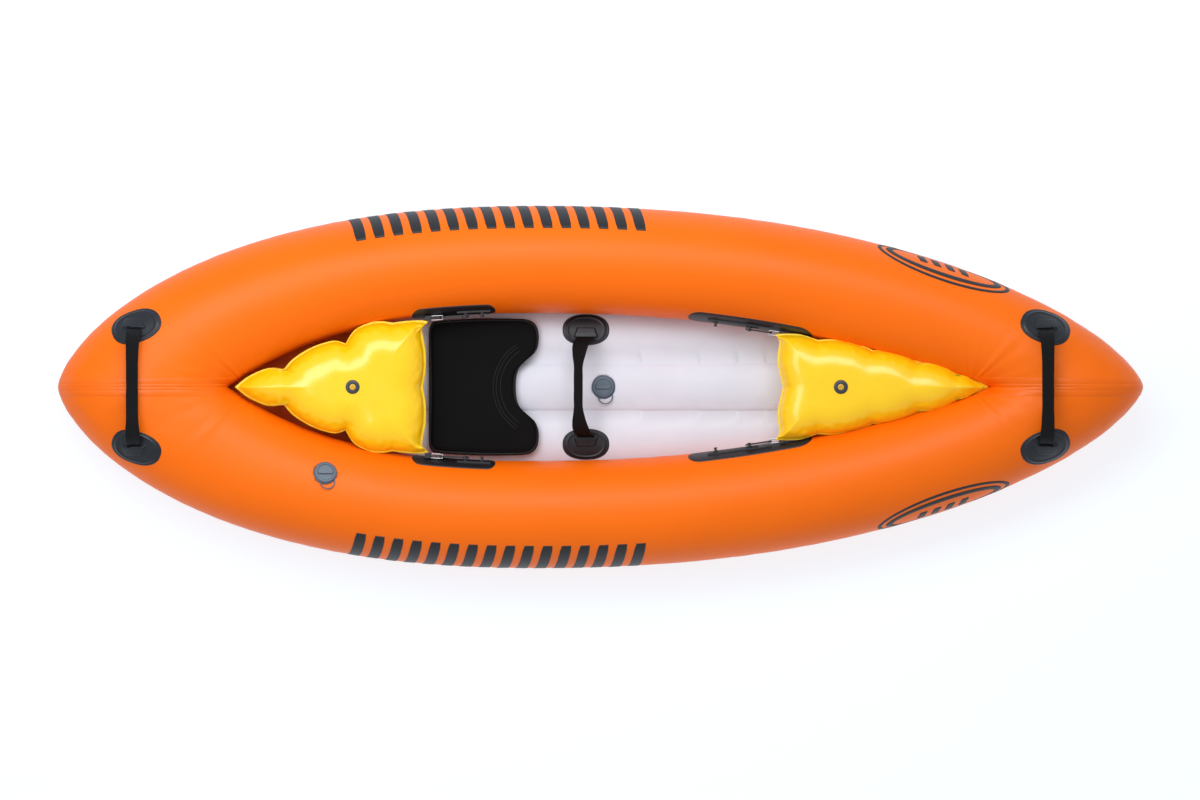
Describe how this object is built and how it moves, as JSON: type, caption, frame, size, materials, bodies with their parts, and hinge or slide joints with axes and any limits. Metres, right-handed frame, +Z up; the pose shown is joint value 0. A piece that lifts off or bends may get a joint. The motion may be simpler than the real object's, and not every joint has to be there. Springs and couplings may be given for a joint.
{
  "type": "inflatable kayak",
  "caption": "Pointed inflatable kayak: two air tubes joined at both tips, drop-in air floor, seat pad, wedge air cushions, webbing carry handles, screw valves.",
  "frame": {"origin": "on the ground under the middle of the boat", "axes": "+X towards the bow, +Y to port, +Z up"},
  "size_m": [2.6016, 0.8676, 0.3],
  "materials": {
    "hull_fabric": "satin",
    "seam_tape": "satin",
    "floor_fabric": "satin",
    "seat_foam": "matte",
    "binding": "matte",
    "cushion_film": "gloss",
    "dark_valve": "satin",
    "plug": "satin",
    "webbing": "matte",
    "patch_rubber": "satin",
    "steel": "satin",
    "valve_plastic": "satin",
    "black_plastic": "satin"
  },
  "bodies": {
    "root": {"bottom_sheet": "hull_fabric", "bow_anchor_patch_port": "patch_rubber", "bow_anchor_patch_starboard": "patch_rubber", "bow_bag": "cushion_film", "bow_bag_valve": "dark_valve", "bow_handle_patch_port": "patch_rubber", "bow_handle_patch_starboard": "patch_rubber", "bow_lug_port": "black_plastic", "bow_lug_starboard": "black_plastic", "bow_seam_tape": "seam_tape", "bow_track_port": "black_plastic", "bow_track_starboard": "black_plastic", "bow_wire_port": "steel", "bow_wire_starboard": "steel", "centre_handle_patch_port": "patch_rubber", "centre_handle_patch_starboard": "patch_rubber", "floor_mat": "floor_fabric", "floor_valve_base": "valve_plastic", "floor_valve_spring": "steel", "floor_valve_tether": "valve_plastic", "hull_valve_base": "valve_plastic", "hull_valve_spring": "steel", "hull_valve_tether": "valve_plastic", "port_hull_tube": "hull_fabric", "seat_binding": "binding", "seat_pad": "seat_foam", "starboard_hull_tube": "hull_fabric", "stern_anchor_patch_port": "patch_rubber", "stern_anchor_patch_starboard": "patch_rubber", "stern_bag": "cushion_film", "stern_bag_valve": "dark_valve", "stern_handle_patch_port": "patch_rubber", "stern_handle_patch_starboard": "patch_rubber", "stern_lug_port": "black_plastic", "stern_lug_starboard": "black_plastic", "stern_seam_tape": "seam_tape", "stern_track_port": "black_plastic", "stern_track_starboard": "black_plastic", "stern_wire_port": "steel", "stern_wire_starboard": "steel"},
    "stern_handle": {"stern_handle_strap": "webbing"},
    "bow_handle": {"bow_handle_strap": "webbing"},
    "centre_handle": {"centre_handle_strap": "webbing"},
    "hull_valve_collar_body": {"hull_valve_collar": "valve_plastic"},
    "hull_valve_cap_body": {"hull_valve_cap": "valve_plastic"},
    "hull_valve_stem_body": {"hull_valve_stem": "valve_plastic"},
    "floor_valve_collar_body": {"floor_valve_collar": "valve_plastic"},
    "floor_valve_cap_body": {"floor_valve_cap": "valve_plastic"},
    "floor_valve_stem_body": {"floor_valve_stem": "valve_plastic"},
    "stern_bag_plug_body": {"stern_bag_plug": "plug"},
    "bow_bag_plug_body": {"bow_bag_plug": "plug"},
    "stern_clip_port_body": {"stern_clip_port": "black_plastic"},
    "stern_clip_starboard_body": {"stern_clip_starboard": "black_plastic"},
    "bow_clip_port_body": {"bow_clip_port": "black_plastic"},
    "bow_clip_starboard_body": {"bow_clip_starboard": "black_plastic"}
  },
  "joints": [
    {"name": "stern_handle_swing", "type": "hinge", "parent": "root", "child": "stern_handle", "pos_m": [-1.118, 0, 0.26073], "axis": [0, 1, 0], "range_deg": [-40, 50]},
    {"name": "bow_handle_swing", "type": "hinge", "parent": "root", "child": "bow_handle", "pos_m": [1.068, 0, 0.26231], "axis": [0, -1, 0], "range_deg": [-40, 50]},
    {"name": "centre_handle_swing", "type": "hinge", "parent": "root", "child": "centre_handle", "pos_m": [-0.035, 0, 0.1015], "axis": [0, 1, 0], "range_deg": [-45, 75]},
    {"name": "hull_valve_cap_lift", "type": "slide", "parent": "root", "child": "hull_valve_collar_body", "axis": [0.0861, 0.3177, 0.9443], "range_m": [0, 0.025]},
    {"name": "hull_valve_cap_twist", "type": "hinge", "parent": "hull_valve_collar_body", "child": "hull_valve_cap_body", "pos_m": [-0.6595, -0.206, 0.24628], "axis": [0.0861, 0.3177, 0.9443], "range_deg": [0, 90]},
    {"name": "hull_valve_stem_push", "type": "slide", "parent": "root", "child": "hull_valve_stem_body", "axis": [-0.0861, -0.3177, -0.9443], "range_m": [0, 0.005], "stiffness_N_per_m": 600, "deforming": ["hull_valve_spring"]},
    {"name": "floor_valve_cap_lift", "type": "slide", "parent": "root", "child": "floor_valve_collar_body", "axis": [0, 0, 1], "range_m": [0, 0.025]},
    {"name": "floor_valve_cap_twist", "type": "hinge", "parent": "floor_valve_collar_body", "child": "floor_valve_cap_body", "pos_m": [0.007, 0, 0.077], "axis": [0, 0, 1], "range_deg": [0, 90]},
    {"name": "floor_valve_stem_push", "type": "slide", "parent": "root", "child": "floor_valve_stem_body", "axis": [0, 0, -1], "range_m": [0, 0.005], "stiffness_N_per_m": 600, "deforming": ["floor_valve_spring"]},
    {"name": "stern_bag_plug_pull", "type": "slide", "parent": "root", "child": "stern_bag_plug_body", "axis": [0, 0, 1], "range_m": [0, 0.02]},
    {"name": "bow_bag_plug_pull", "type": "slide", "parent": "root", "child": "bow_bag_plug_body", "axis": [0, 0, 1], "range_m": [0, 0.02]},
    {"name": "stern_clip_port_unhook", "type": "hinge", "parent": "root", "child": "stern_clip_port_body", "pos_m": [-0.37835, 0.16649, 0.17], "axis": [0.0531, -0.9986, 0], "range_deg": [0, 70]},
    {"name": "stern_clip_starboard_unhook", "type": "hinge", "parent": "root", "child": "stern_clip_starboard_body", "pos_m": [-0.37835, -0.16649, 0.17], "axis": [-0.0531, -0.9986, 0], "range_deg": [0, 70]},
    {"name": "bow_clip_port_unhook", "type": "hinge", "parent": "root", "child": "bow_clip_port_body", "pos_m": [0.40382, 0.13064, 0.17], "axis": [0.1511, 0.9885, 0], "range_deg": [0, 70]},
    {"name": "bow_clip_starboard_unhook", "type": "hinge", "parent": "root", "child": "bow_clip_starboard_body", "pos_m": [0.40382, -0.13064, 0.17], "axis": [-0.1511, 0.9885, 0], "range_deg": [0, 70]}
  ]
}
